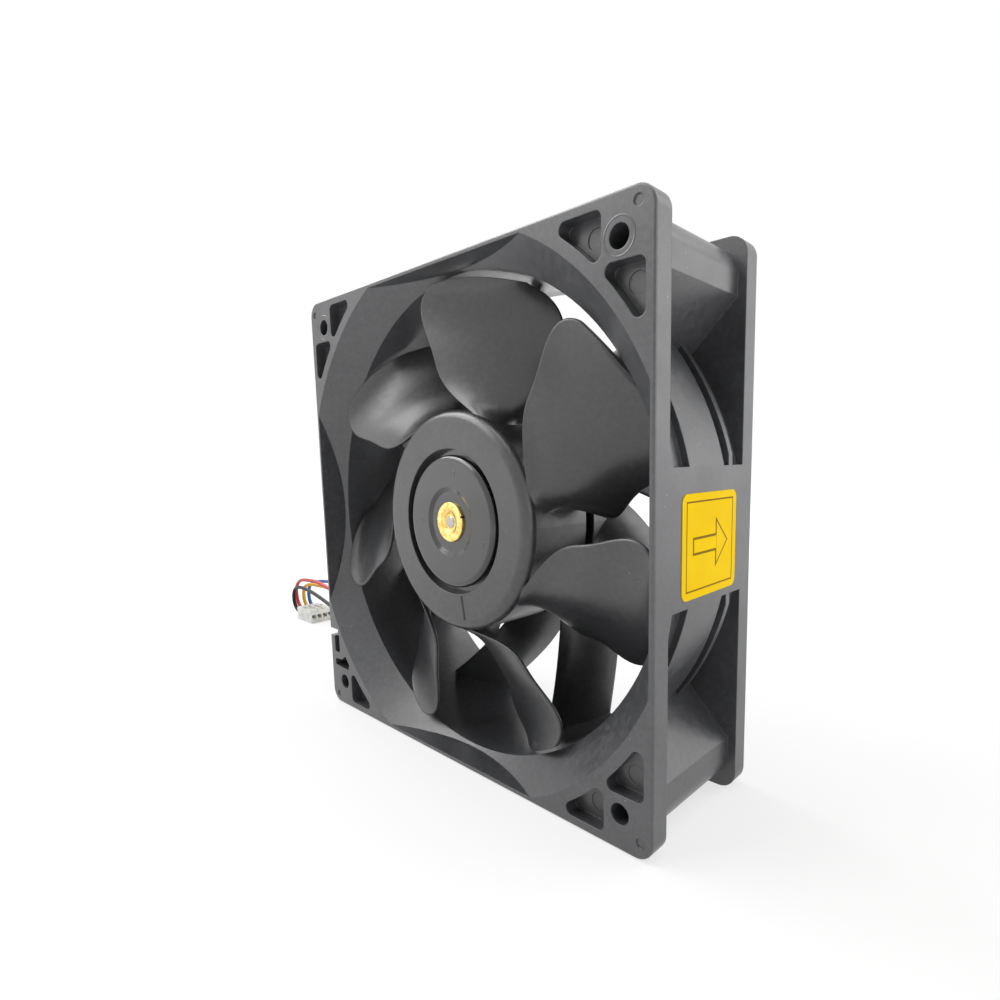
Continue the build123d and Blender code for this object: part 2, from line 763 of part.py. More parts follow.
def winding_pins():
    top = CORE_BACK + INSULATOR
    pin = slab(Pos(PIN_CIRCLE_R, 0) * Circle(PIN_R), top, BOARD_BACK + PIN_PROUD)
    return Compound(children=around(pin, 3, 30))


def circuit_board():
    inner = TUBE_R + BOARD_SEAT + BOARD_HOLE_GAP
    board = ring(BOARD_R, inner, BOARD_FRONT, BOARD_BACK)
    for k in range(3):
        hole = slab(
            Pos(PIN_CIRCLE_R, 0) * Circle(PIN_R + BOARD_HOLE_GAP), BOARD_FRONT - 1, BOARD_BACK + 1
        )
        board -= turn(30 + 120 * k) * hole
    return board


def on_board(radius, angle, size, front=False):
    """A block-shaped component on the board's rear face, or on its front one."""
    length, width, height = size
    y = BOARD_FRONT - height / 2 if front else BOARD_BACK + height / 2
    return turn(angle) * Pos(radius, y, 0) * Box(length, height, width)


def driver_chip():
    """A surface-mounted motor driver with its two rows of legs."""
    spot = BOARD_R - CHIP_INSET
    body = on_board(spot, 60, (5.0, 6.4, 1.6))
    leg = on_board(spot, 60, (0.45, 8.6, 0.5))
    start = turn(60)
    for k in range(4):
        body += start * Pos(1.27 * (k - 1.5), 0, 0) * start.inverse() * leg
    return body


def capacitor():
    """A small can capacitor standing on the board."""
    spot = Pos(BOARD_R - CAPACITOR_INSET, 0)
    can = spot * Circle(3.15)
    base = spot * RectangleRounded(6.6, 6.6, 0.8)
    body = slab(base, BOARD_BACK, BOARD_BACK + 0.9)
    body += slab(can, BOARD_BACK + 0.9, BOARD_BACK + 5.8)
    return turn(-20) * body


def hall_sensor():
    return on_board(MAGNET_R - MAGNET_WALL / 2, 150, (1.5, 4.0, 3.0), front=True)


def chip_resistors():
    size = (2.0, 1.25, 0.5)
    spots = ((9.7, 110), (6.7, 112), (3.7, 114), (9.7, 128), (6.7, 130))
    return Compound(children=[on_board(BOARD_R - inset, a, size) for inset, a in spots])


def tube_along(path, radius):
    """A round tube along a path of straight runs and tangent arcs."""
    start = Plane(origin=path @ 0, z_dir=path % 0)
    return sweep(start * Circle(radius), path)


def held_lead(offset):
    """The stretch of a lead from its solder joint to where it leaves the channel."""
    path = FilletPolyline(
        along_channel(-BASE_WALL - LEAD_INNER, offset, SOLDER_BACK),
        along_channel(-BASE_WALL - LEAD_INNER, offset, LEAD_Y),
        along_channel(channel_reach() - LEAD_EXIT, offset, LEAD_Y),
        radius=LEAD_BEND,
    )
    return tube_along(path, LEAD_R)


def lead_solder():
    joints = []
    for offset in LEAD_OFFSETS:
        spot = along_channel(-BASE_WALL - LEAD_INNER, offset, 0)
        joint = turned(
            (0, BOARD_BACK), (0.82, BOARD_BACK), (0.4, SOLDER_BACK), (0, SOLDER_BACK)
        )
        joints.append(Pos(spot.X, 0, spot.Z) * joint)
    return Compound(children=joints)


# Routes of the four free leads, from the channel to the connector, in millimetres.
# Their first two and last two points are worked out from the channel and the connector.
ROUTES = {
    "black": [
        (-97.0, 13.0, -49.2),
        (-121.0, 13.6, -48.4),
        (-143.0, 15.3, -45.2),
        (-155.8, 16.4, -44.6),
        (-165.6, 16.7, -45.0),
        (-169.2, 16.7, -48.5),
        (-169.2, 16.7, -53.5),
    ],
    "red": [
        (-98.0, 14.4, -46.4),
        (-122.0, 17.4, -44.0),
        (-145.0, 19.0, -41.0),
        (-157.5, 19.2, -41.2),
        (-168.2, 19.2, -42.6),
        (-172.4, 19.2, -48.0),
        (-170.8, 19.2, -54.6),
    ],
    "yellow": [
        (-97.0, 16.9, -43.8),
        (-121.0, 20.5, -44.2),
        (-144.0, 22.0, -43.6),
        (-156.6, 21.9, -43.9),
        (-166.4, 21.8, -44.9),
        (-170.0, 21.8, -48.6),
        (-169.8, 21.8, -53.7),
    ],
    "blue": [
        (-98.0, 14.2, -40.8),
        (-122.0, 20.4, -40.6),
        (-144.5, 24.0, -41.2),
        (-156.6, 24.3, -42.4),
        (-166.6, 24.3, -44.4),
        (-170.2, 24.3, -49.0),
        (-169.7, 24.3, -54.2),
    ],
}
ENTRY_Z = FLOOR + PLUG_HEIGHT / 2


def lead_route(index, colour):
    """All points of a free lead: its exit, the points above and its end in the plug."""
    offset = LEAD_OFFSETS[index]
    end = channel_reach() - LEAD_EXIT
    leave = [along_channel(end + far, offset, LEAD_Y) for far in (0, LEAD_STRAIGHT)]
    way_y = PLUG_Y + WAY_PITCH * (index - (LEAD_COUNT - 1) / 2)
    into = [(PLUG_WALL_X - 2.7, way_y, ENTRY_Z), (PLUG_WALL_X + 1.8, way_y, ENTRY_Z)]
    return leave + [Vector(*p) for p in ROUTES[colour] + into]


def corner_radii(points):
    """The largest arc that fits at each corner of a route."""
    radii = []
    for before, here, after in zip(points, points[1:], points[2:]):
        run_in = here - before
        run_out = after - here
        half_turn = radians(run_in.get_angle(run_out)) / 2
        shorter = min(run_in.length, run_out.length)
        radii.append(0.45 * shorter * cos(half_turn) / sin(half_turn))
    return radii


def free_lead(index, colour):
    points = lead_route(index, colour)
    radii = corner_radii(points)
    path = FilletPolyline(*points, radius=radii)
    print(colour, "lead", round(path.length, 1), "mm, tightest bend", round(min(radii), 1))
    return tube_along(path, LEAD_R)


def plug_ways():
    return [PLUG_Y + WAY_PITCH * (k - (LEAD_COUNT - 1) / 2) for k in range(LEAD_COUNT)]


def plug_housing():
    """A four-way in-line crimp housing with two keying ribs."""
    middle_x = PLUG_WALL_X + PLUG_LENGTH / 2
    body = Pos(middle_x, PLUG_Y, ENTRY_Z) * Box(PLUG_LENGTH, PLUG_WIDTH, PLUG_HEIGHT)
    body = chamfer(body.edges().filter_by(Axis.X), 0.35)
    top = FLOOR + PLUG_HEIGHT
    rib_x = PLUG_WALL_X + PLUG_LENGTH - PLUG_RIB_LENGTH / 2
    for y in (plug_ways()[1], plug_ways()[2]):
        rib = Box(PLUG_RIB_LENGTH, 0.9, 2 * PLUG_RIB)
        body += Pos(rib_x, y, top) * rib
    for y in plug_ways():
        body -= Pos(middle_x, y, ENTRY_Z) * Box(PLUG_LENGTH + 2, CAVITY, CAVITY)
        window = Pos(middle_x - 1.5, y, top) * Box(2.4, 1.1, PLUG_HEIGHT - CAVITY)
        body -= window
    return body


def crimp_terminals():
    """Four box terminals in the plug, each with its barrel round the lead's end."""
    start = PLUG_WALL_X + 1.8
    box_length = PLUG_LENGTH - 3.4
    half = CAVITY / 2 - 0.05
    made = []
    for y in plug_ways():
        box = Pos(start + box_length / 2, y, ENTRY_Z) * Box(box_length, 2 * half, 2 * half)
        box -= Pos(start + box_length / 2 + 2, y, ENTRY_Z) * Box(
            box_length, 2 * half - 0.6, 2 * half - 0.6
        )
        made.append(box)
    return Compound(children=made)


def side_sticker():
    """A blank yellow label on the flat of the frame's right side."""
    face = RectangleRounded(STICKER_WIDTH, STICKER_HEIGHT, STICKER_CORNER)
    spot = Plane(
        origin=(SIDE / 2, STICKER_POS[0], STICKER_POS[1]), x_dir=(0, 1, 0), z_dir=(1, 0, 0)
    )
    return extrude(spot * face, STICKER_THICK)


def coil_group(phase):
    pair = [turn(360 / SLOT_COUNT * k) * coil() for k in (phase, phase + 3)]
    return Compound(children=pair)


NODES = {
    "housing": housing,
    "bearing_tube": bearing_tube,
    "stator_core": lambda: slab(core_outline(), CORE_FRONT, CORE_BACK),
    "front_insulator": lambda: insulator(CORE_FRONT - INSULATOR),
    "rear_insulator": lambda: insulator(CORE_BACK),
    "coils_phase_u": lambda: coil_group(0),
    "coils_phase_v": lambda: coil_group(1),
    "coils_phase_w": lambda: coil_group(2),
    "winding_pins": winding_pins,
    "circuit_board": circuit_board,
    "driver_chip": driver_chip,
    "capacitor": capacitor,
    "hall_sensor": hall_sensor,
    "chip_resistors": chip_resistors,
    "lead_solder": lead_solder,
    "side_sticker": side_sticker,
    "preload_washer": preload_washer,
    "impeller": impeller,
    "rotor_yoke": rotor_yoke,
    "magnet_ring": magnet_ring,
    "rotor_boss": rotor_boss,
    "shaft": shaft,
    "retaining_clip": retaining_clip,
    "plug_housing": plug_housing,
    "crimp_terminals": crimp_terminals,
}
for place, middle in (("front", FRONT_BEARING), ("rear", REAR_BEARING)):
    NODES[f"{place}_outer_race"] = lambda m=middle: race(BEARING_R, OUTER_RACE_R, m)
    NODES[f"{place}_inner_race"] = lambda m=middle: race(INNER_RACE_R, SHAFT_R, m)
    NODES[f"{place}_bearing_balls"] = lambda m=middle: balls(m)
    NODES[f"{place}_ball_cage"] = lambda m=middle: ball_cage(m)
    NODES[f"{place}_bearing_shields"] = lambda m=middle: shields(m)
for number, colour in enumerate(ROUTES):
    NODES[f"{colour}_lead_held"] = lambda n=number: held_lead(LEAD_OFFSETS[n])
    NODES[f"{colour}_lead"] = lambda n=number, c=colour: free_lead(n, c)

os.makedirs("parts", exist_ok=True)
for name, make in NODES.items():
    export_step(make(), f"parts/{name}.step")
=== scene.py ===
import json
import math

import bmesh
import bpy
from mathutils import Matrix, Vector


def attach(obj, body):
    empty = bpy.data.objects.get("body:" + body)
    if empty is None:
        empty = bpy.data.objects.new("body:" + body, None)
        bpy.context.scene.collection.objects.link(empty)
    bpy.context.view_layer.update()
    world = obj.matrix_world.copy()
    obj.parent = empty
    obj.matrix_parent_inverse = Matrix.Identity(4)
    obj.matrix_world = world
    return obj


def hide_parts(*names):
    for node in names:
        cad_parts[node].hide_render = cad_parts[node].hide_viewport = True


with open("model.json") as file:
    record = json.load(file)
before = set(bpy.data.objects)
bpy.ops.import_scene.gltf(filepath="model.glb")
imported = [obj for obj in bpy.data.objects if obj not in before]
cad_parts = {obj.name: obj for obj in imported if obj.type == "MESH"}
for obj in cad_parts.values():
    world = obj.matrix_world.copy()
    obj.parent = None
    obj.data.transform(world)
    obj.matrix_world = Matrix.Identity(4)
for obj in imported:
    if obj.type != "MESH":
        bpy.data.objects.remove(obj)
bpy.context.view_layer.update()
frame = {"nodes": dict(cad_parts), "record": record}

MM = 0.001
MM_PER_M = 1000

# Camera, from the perspective of the photograph: pixels of the picture, metres and degrees
PICTURE_PX = 1000
FOCAL_PX = 592.63
CENTRE_PX = (572.79, 528.53)
CAMERA_POS = (0.11604, -0.10388, 0.01585)
AZIMUTH = 41.346
ELEVATION = 7.115
ROLL = 0.62
SENSOR_MM = 36.0


def make_camera():
    data = bpy.data.cameras.new("camera")
    data.sensor_width = SENSOR_MM
    data.lens = FOCAL_PX * SENSOR_MM / PICTURE_PX
    data.shift_x = -(CENTRE_PX[0] - PICTURE_PX / 2) / PICTURE_PX
    data.shift_y = (CENTRE_PX[1] - PICTURE_PX / 2) / PICTURE_PX
    data.clip_start = 0.005
    data.clip_end = 20
    camera = bpy.data.objects.new("camera", data)
    bpy.context.collection.objects.link(camera)
    azimuth = math.radians(AZIMUTH)
    elevation = math.radians(ELEVATION)
    forward = Vector((
        -math.sin(azimuth) * math.cos(elevation),
        math.cos(azimuth) * math.cos(elevation),
        -math.sin(elevation),
    ))
    right = forward.cross(Vector((0, 0, 1))).normalized()
    up = right.cross(forward)
    turn = Matrix.Rotation(math.radians(ROLL), 3, forward)
    right, up = turn @ right, turn @ up
    camera.matrix_world = Matrix((
        (right.x, up.x, -forward.x, CAMERA_POS[0]),
        (right.y, up.y, -forward.y, CAMERA_POS[1]),
        (right.z, up.z, -forward.z, CAMERA_POS[2]),
        (0, 0, 0, 1),
    ))
    bpy.context.scene.camera = camera


make_camera()
bpy.context.scene.view_settings.view_transform = "Standard"

# Free leads: the exit and the points of each route, in metres
LEAD_DIAMETER = 0.0016
LEADS = {
    "black": (0.1284, [
        (-0.05756, 0.01245, -0.03959),
        (-0.07035, 0.01245, -0.04528),
        (-0.097, 0.013, -0.0492),
        (-0.121, 0.0136, -0.0484),
        (-0.143, 0.0153, -0.0452),
        (-0.1558, 0.0164, -0.0446),
        (-0.1656, 0.0167, -0.045),
        (-0.1692, 0.0167, -0.0485),
        (-0.1692, 0.0167, -0.0535),
        (-0.1657, 0.01669, -0.05705),
        (-0.1612, 0.01669, -0.05705),
    ]),
    "red": (0.1344, [
        (-0.05827, 0.01245, -0.03799),
        (-0.07106, 0.01245, -0.04369),
        (-0.098, 0.0144, -0.0464),
        (-0.122, 0.0174, -0.044),
        (-0.145, 0.019, -0.041),
        (-0.1575, 0.0192, -0.0412),
        (-0.1682, 0.0192, -0.0426),
        (-0.1724, 0.0192, -0.048),
        (-0.1708, 0.0192, -0.0546),
        (-0.1657, 0.01923, -0.05705),
        (-0.1612, 0.01923, -0.05705),
    ]),
    "yellow": (0.1284, [
        (-0.05899, 0.01245, -0.03639),
        (-0.07177, 0.01245, -0.04209),
        (-0.097, 0.0169, -0.0438),
        (-0.121, 0.0205, -0.0442),
        (-0.144, 0.022, -0.0436),
        (-0.1566, 0.0219, -0.0439),
        (-0.1664, 0.0218, -0.0449),
        (-0.17, 0.0218, -0.0486),
        (-0.1698, 0.0218, -0.0537),
        (-0.1657, 0.02177, -0.05705),
        (-0.1612, 0.02177, -0.05705),
    ]),
    "blue": (0.1289, [
        (-0.0597, 0.01245, -0.03479),
        (-0.07249, 0.01245, -0.04049),
        (-0.098, 0.0142, -0.0408),
        (-0.122, 0.0204, -0.0406),
        (-0.1445, 0.024, -0.0412),
        (-0.1566, 0.0243, -0.0424),
        (-0.1666, 0.0243, -0.0444),
        (-0.1702, 0.0243, -0.049),
        (-0.1697, 0.0243, -0.0542),
        (-0.1657, 0.02431, -0.05705),
        (-0.1612, 0.02431, -0.05705),
    ]),
}


def cord_curve(name, points, radius):
    """A smooth line with the route's points as its control points."""
    data = bpy.data.curves.new(name, "CURVE")
    data.dimensions = "3D"
    data.bevel_depth = radius
    data.bevel_resolution = 5
    data.resolution_u = 14
    data.use_fill_caps = True
    line = data.splines.new("NURBS")
    line.points.add(len(points) - 1)
    for spot, point in zip(line.points, points):
        spot.co = (*point, 1)
    line.order_u = 3
    line.use_endpoint_u = True
    obj = bpy.data.objects.new(name, data)
    bpy.context.collection.objects.link(obj)
    return obj


def socket(value):
    """A colour with its alpha, or a plain number as it is."""
    return (*value, 1.0) if isinstance(value, tuple) else value


SHADER_INPUTS = {
    "color": "Base Color",
    "rough": "Roughness",
    "metal": "Metallic",
    "specular": "Specular IOR Level",
    "coat": "Coat Weight",
    "coat_rough": "Coat Roughness",
    "inside": "Subsurface Weight",
}


# How far out a round mark is full, as a share of its radius
SPOT_CORE = 0.55


class Material:
    """A node material, with short calls for the nodes that these finishes share."""

    def __init__(self, name, **values):
        self.material = bpy.data.materials.new(name)
        self.material.use_nodes = True
        self.tree = self.material.node_tree
        self.shader = self.tree.nodes["Principled BSDF"]
        for key, value in values.items():
            self.shader.inputs[SHADER_INPUTS[key]].default_value = socket(value)
        self.place = self.new("ShaderNodeTexCoord").outputs["Object"]

    def new(self, kind, **values):
        node = self.tree.nodes.new(kind)
        for key, value in values.items():
            setattr(node, key, value)
        return node

    def link(self, output, target):
        self.tree.links.new(output, target)

    def noise(self, per_mm, detail=3.0, rough=0.55, stretch=(1, 1, 1)):
        mapping = self.new("ShaderNodeMapping")
        mapping.inputs["Scale"].default_value = stretch
        self.link(self.place, mapping.inputs["Vector"])
        node = self.new("ShaderNodeTexNoise")
        node.inputs["Scale"].default_value = per_mm * MM_PER_M
        node.inputs["Detail"].default_value = detail
        node.inputs["Roughness"].default_value = rough
        self.link(mapping.outputs["Vector"], node.inputs["Vector"])
        return node.outputs["Fac"]

    def cells(self, per_mm, feature="F1"):
        node = self.new("ShaderNodeTexVoronoi", feature=feature)
        node.inputs["Scale"].default_value = per_mm * MM_PER_M
        self.link(self.place, node.inputs["Vector"])
        return node

    def spread(self, value, low, high, out_low=0.0, out_high=1.0):
        """The value's stretch from low to high, laid smoothly over the output's."""
        node = self.new("ShaderNodeMapRange", interpolation_type="SMOOTHSTEP")
        node.inputs["From Min"].default_value = low
        node.inputs["From Max"].default_value = high
        node.inputs["To Min"].default_value = out_low
        node.inputs["To Max"].default_value = out_high
        self.link(value, node.inputs["Value"])
        return node.outputs["Result"]

    def math(self, kind, a, b=0.0):
        node = self.new("ShaderNodeMath", operation=kind)
        for slot, value in zip(node.inputs, (a, b)):
            if isinstance(value, (int, float)):
                slot.default_value = value
            else:
                self.link(value, slot)
        return node.outputs["Value"]

    def mix(self, factor, a, b):
        node = self.new("ShaderNodeMix", data_type="RGBA")
        factor_slot, color_a, color_b = node.inputs[0], node.inputs[6], node.inputs[7]
        for slot, value in ((factor_slot, factor), (color_a, a), (color_b, b)):
            if isinstance(value, (int, float, tuple)):
                slot.default_value = socket(value)
            else:
                self.link(value, slot)
        return node.outputs[2]

    def axes(self):
        node = self.new("ShaderNodeSeparateXYZ")
        self.link(self.place, node.inputs["Vector"])
        return node.outputs["X"], node.outputs["Y"], node.outputs["Z"]

    def distance(self, a, b):
        """The length of a step of a one way and b across."""
        square = self.math("ADD", self.math("MULTIPLY", a, a), self.math("MULTIPLY", b, b))
        return self.math("SQRT", square)

    def radius(self):
        """The distance from the rotor axis, in metres."""
        x, _, z = self.axes()
        return self.distance(x, z)

    def rings(self, per_metre):
        """Waves about the rotor axis, as a turning tool leaves."""
        return self.math("SINE", self.math("MULTIPLY", self.radius(), per_metre))

    def spot(self, x_mm, z_mm, radius_mm):
        """One inside a small round mark, seen along the rotor axis."""
        x, _, z = self.axes()
        dx = self.math("SUBTRACT", x, x_mm * MM)
        dz = self.math("SUBTRACT", z, z_mm * MM)
        reach = self.distance(dx, dz)
        return self.spread(reach, radius_mm * SPOT_CORE * MM, radius_mm * MM, 1, 0)

    def spots(self, places, radius_mm):
        """The round marks at several places in one."""
        marks = 0.0
        for x_mm, z_mm in places:
            marks = self.math("MAXIMUM", self.spot(x_mm, z_mm, radius_mm), marks)
        return marks

    def bump(self, height, depth_mm, strength=1.0):
        node = self.new("ShaderNodeBump")
        node.inputs["Strength"].default_value = strength
        node.inputs["Distance"].default_value = depth_mm * MM
        self.link(height, node.inputs["Height"])
        before = self.shader.inputs["Normal"].links
        if before:
            self.link(before[0].from_socket, node.inputs["Normal"])
        self.link(node.outputs["Normal"], self.shader.inputs["Normal"])

    def soft_edges(self, radius_mm):
        """Shade the corners as if they were rounded, as moulded and pressed ones are."""
        node = self.new("ShaderNodeBevel")
        node.samples = 4
        node.inputs["Radius"].default_value = radius_mm * MM
        self.link(node.outputs["Normal"], self.shader.inputs["Normal"])

    def color_from(self, output):
        self.link(output, self.shader.inputs["Base Color"])

    def rough_from(self, output):
        self.link(output, self.shader.inputs["Roughness"])


def lighter(color, factor):
    return tuple(min(1.0, channel * factor) for channel in color)


# With patches smoother than this, the denoised picture had small dark marks in the shade.
LEAST_ROUGH = 0.285
SOFT_EDGE_MM = 0.3
DUST = (0.45, 0.45, 0.45)


def moulded(name, color, rough, grain_mm, grain_depth, mottle, specks):
    """Moulded plastic with a sheen: fine grain, flow mottling, clouds and a few specks of dust."""
    m = Material(name, rough=rough, specular=0.9)
    cloud = m.noise(0.045, 4)
    grain = m.noise(1 / grain_mm, 2, 0.7)
    flow = m.noise(0.8, 4, 0.55)
    tone = m.mix(m.spread(cloud, 0.3, 0.7), lighter(color, 0.82), lighter(color, 1.18))
    tone = m.mix(m.spread(flow, 0.35, 0.75, 0, mottle), tone, lighter(color, 2.0))
    tone = m.mix(m.spread(grain, 0.56, 0.76, 0, 0.6), tone, lighter(color, 2.0))
    near = m.spread(m.cells(0.42).outputs["Distance"], 0.045, 0.075, 1, 0)
    some = m.spread(m.noise(0.19, 2), 0.57, 0.64)
    dusty = m.math("MULTIPLY", m.math("MULTIPLY", near, some), specks)
    m.color_from(m.mix(dusty, tone, DUST))
    wide = m.spread(m.noise(0.11, 3), 0.3, 0.7, rough - 0.05, rough + 0.06)
    uneven = m.math("ADD", wide, m.spread(flow, 0.3, 0.7, -0.04, 0.04))
    m.rough_from(m.math("MAXIMUM", uneven, LEAST_ROUGH))
    m.soft_edges(SOFT_EDGE_MM)
    m.bump(grain, grain_depth, 0.7)
    m.bump(flow, 0.012, 0.5)
    m.bump(m.noise(0.16, 2), 0.03, 0.35)
    return m


# The screw holes and the faint ring round each, in metres
HOLE_AT = 0.0525
HOLE_RING_R = 0.0033
HOLE_RING_EDGE_MM = (0.05, 0.22)


def frame_plastic():
    """The frame, with a faint raised ring round each screw hole."""
    m = moulded(
        "frame_plastic", (0.058, 0.059, 0.063), 0.32,
        grain_mm=0.34, grain_depth=0.02, mottle=0.35, specks=0.6,
    )
    x, _, z = m.axes()
    dx = m.math("SUBTRACT", m.math("ABSOLUTE", x), HOLE_AT)
    dz = m.math("SUBTRACT", m.math("ABSOLUTE", z), HOLE_AT)
    off = m.math("ABSOLUTE", m.math("SUBTRACT", m.distance(dx, dz), HOLE_RING_R))
    inner, outer = HOLE_RING_EDGE_MM
    m.bump(m.spread(off, inner * MM, outer * MM, 1, 0), 0.09, 0.9)
    return m.material


def impeller_plastic():
    """The impeller: darker, glossier and more mottled than the frame."""
    m = moulded(
        "impeller_plastic", (0.036, 0.0365, 0.039), 0.29,
        grain_mm=0.42, grain_depth=0.012, mottle=0.5, specks=0.6,
    )
    return m.material


# Marks on the rotor's face: x and z in millimetres
PUNCH_MARKS = ((2.1, 11.6), (-11.0, -0.2), (12.0, -4.4))
PUNCH_RADIUS_MM = 0.75
# The two nicks in the brass are painted shade: dark spots in the colour, with no cut in the shape
BRASS_NICK_SHADES = ((4.6, 1.5), (1.8, -4.6))
NICK_SHADE_RADIUS_MM = 0.34
BRASS_DISH_MM = (2.2, 3.3)
# Rings of pressed and of turned metal, in radians per metre
DRAWING_RINGS = 5200
BRASS_RINGS = 9000
SHAFT_RINGS = 14000
BEARING_RINGS = 16000


def black_steel():
    """Glossy black coating on pressed steel, with faint drawing rings, scuffs and punch marks."""
    m = Material("black_steel", rough=0.2, specular=0.75, coat=0.35, coat_rough=0.08)
    cloud = m.noise(0.12, 3)
    scuff = m.spread(m.noise(0.9, 3, 0.7, (1, 1, 0.2)), 0.66, 0.78, 0, 0.5)
    tone = m.mix(m.spread(cloud, 0.3, 0.7), (0.010, 0.0108, 0.010), (0.020, 0.0215, 0.020))
    m.color_from(m.mix(scuff, tone, (0.05, 0.052, 0.05)))
    m.rough_from(m.spread(cloud, 0.25, 0.75, 0.17, 0.26))
    m.bump(m.rings(DRAWING_RINGS), 0.002, 0.4)
    m.bump(m.noise(1.4, 2), 0.006, 0.5)
    m.bump(m.spots(PUNCH_MARKS, PUNCH_RADIUS_MM), 0.12, 1.0)
    return m.material


def boss_brass():
    """Turned brass with a dished middle, dark stains, and painted shade as dark spots where two
    small nicks are.
    """
    m = Material("brass", metal=1.0, rough=0.26)
    gold, dark = (0.95, 0.74, 0.27), (0.68, 0.38, 0.07)
    stain = m.spread(m.noise(0.8, 4, 0.6), 0.4, 0.68, 0, 0.75)
    tone = m.mix(stain, gold, dark)
    nick_shade = m.spots(BRASS_NICK_SHADES, NICK_SHADE_RADIUS_MM)
    # Painted shade: at the nick spots the brass colour turns nearly black
    m.color_from(m.mix(nick_shade, tone, (0.05, 0.025, 0.01)))
    m.rough_from(m.spread(m.noise(1.1, 3), 0.3, 0.7, 0.18, 0.4))
    m.bump(m.rings(BRASS_RINGS), 0.012, 0.6)
    dish_from, dish_to = BRASS_DISH_MM
    m.bump(m.spread(m.radius(), dish_from * MM, dish_to * MM), 0.4, 0.9)
    m.bump(m.noise(1.3, 3), 0.05, 0.5)
    return m.material


def turned_metal(name, color, rough, ring, depth, stain):
    """Metal turned on a lathe: fine rings about the rotor axis and slight staining."""
    m = Material(name, metal=1.0, rough=rough)
    cloud = m.spread(m.noise(0.5, 4), 0.35, 0.7, 0, stain)
    m.color_from(m.mix(cloud, color, lighter(color, 0.55)))
    m.rough_from(m.spread(m.noise(0.8, 3), 0.3, 0.7, rough - 0.05, rough + 0.12))
    m.bump(m.rings(ring), depth, 0.6)
    m.bump(m.noise(2.2, 3), 0.02, 0.35)
    return m.material


def plain_metal(name, color, rough):
    """Bright metal with faint clouds and a fine unevenness."""
    m = Material(name, metal=1.0, rough=rough)
    cloud = m.spread(m.noise(0.7, 3), 0.35, 0.7, 0, 0.3)
    m.color_from(m.mix(cloud, color, lighter(color, 0.6)))
    m.rough_from(m.spread(m.noise(1.1, 3), 0.3, 0.7, rough - 0.05, rough + 0.1))
    m.bump(m.noise(3.0, 2), 0.01, 0.4)
    return m.material


SHEET_MM = 0.5
WIRE_MM = 0.34


def laminations():
    """The edges of a stack of thin steel sheets."""
    m = Material("lamination_steel", metal=0.9, rough=0.4)
    _, y, _ = m.axes()
    sheets = m.math("SINE", m.math("MULTIPLY", y, 2 * math.pi / (SHEET_MM * MM)))
    m.color_from(m.mix(m.spread(sheets, -1, 1), (0.16, 0.16, 0.17), (0.36, 0.36, 0.38)))
    m.bump(sheets, 0.05, 0.7)
    return m.material


def copper_wire():
    """Enamelled wire, wound in even turns, with painted shade in the grooves between them."""
    m = Material("copper_wire", metal=0.85, rough=0.28, coat=0.6, coat_rough=0.15)
    turns = m.rings(2 * math.pi / (WIRE_MM * MM))
    # Painted shade: the colour darkens towards the bottom of each wave, in the groove between
    # turns
    m.color_from(m.mix(m.spread(turns, -1, 0.4), (0.14, 0.035, 0.012), (0.66, 0.25, 0.09)))
    m.bump(turns, 0.08, 0.8)
    return m.material


def plastic(name, color, rough, inside=0.0, coat=0.0):
    """Plain plastic with faint clouds."""
    m = Material(name, rough=rough, specular=0.5, inside=inside, coat=coat, coat_rough=0.12)
    cloud = m.noise(0.35, 3)
    m.color_from(m.mix(m.spread(cloud, 0.3, 0.7), lighter(color, 0.88), lighter(color, 1.08)))
    m.rough_from(m.spread(m.noise(0.8, 2), 0.3, 0.7, rough - 0.05, rough + 0.08))
    m.bump(m.noise(1.5, 2), 0.015, 0.4)
    return m.material


def lead_insulation(name, color, specular=0.5, coat=0.15):
    """Soft PVC with a slight orange-peel surface and a few duller marks."""
    m = Material(name, rough=0.33, specular=specular, coat=coat, coat_rough=0.25)
    mark = m.spread(m.noise(0.7, 4), 0.55, 0.75, 0, 0.4)
    m.color_from(m.mix(mark, color, lighter(color, 0.6)))
    m.rough_from(m.spread(m.noise(0.9, 2), 0.3, 0.7, 0.29, 0.45))
    m.bump(m.noise(2.5, 2), 0.02, 0.4)
    return m.material


def board():
    """Solder resist over copper tracks."""
    m = Material("board", rough=0.28, specular=0.5, coat=0.3, coat_rough=0.1)
    tracks = m.cells(0.28, "DISTANCE_TO_EDGE")
    line = m.spread(tracks.outputs["Distance"], 0.06, 0.09, 1, 0)
    m.color_from(m.mix(line, (0.008, 0.09, 0.03), (0.02, 0.2, 0.07)))
    m.bump(line, 0.04, 0.6)
    return m.material


# The sticker and its print, in metres: y and z on the flat of the frame's right side
STICKER_CENTRE = (0.0007, -0.0017)
STICKER_HALF = (0.0107, 0.0101)
BORDER_INSET = 0.0016
BORDER_LINE = (0.00012, 0.00021)
ARROW_LINE = (0.00019, 0.00029)
SHAFT_MIDDLE = -0.0020
SHAFT_HALF = (0.0046, 0.0015)
HEAD_FROM = 0.0022
HEAD_HALF_WIDTH = 0.0046
HEAD_SLOPE = 0.98


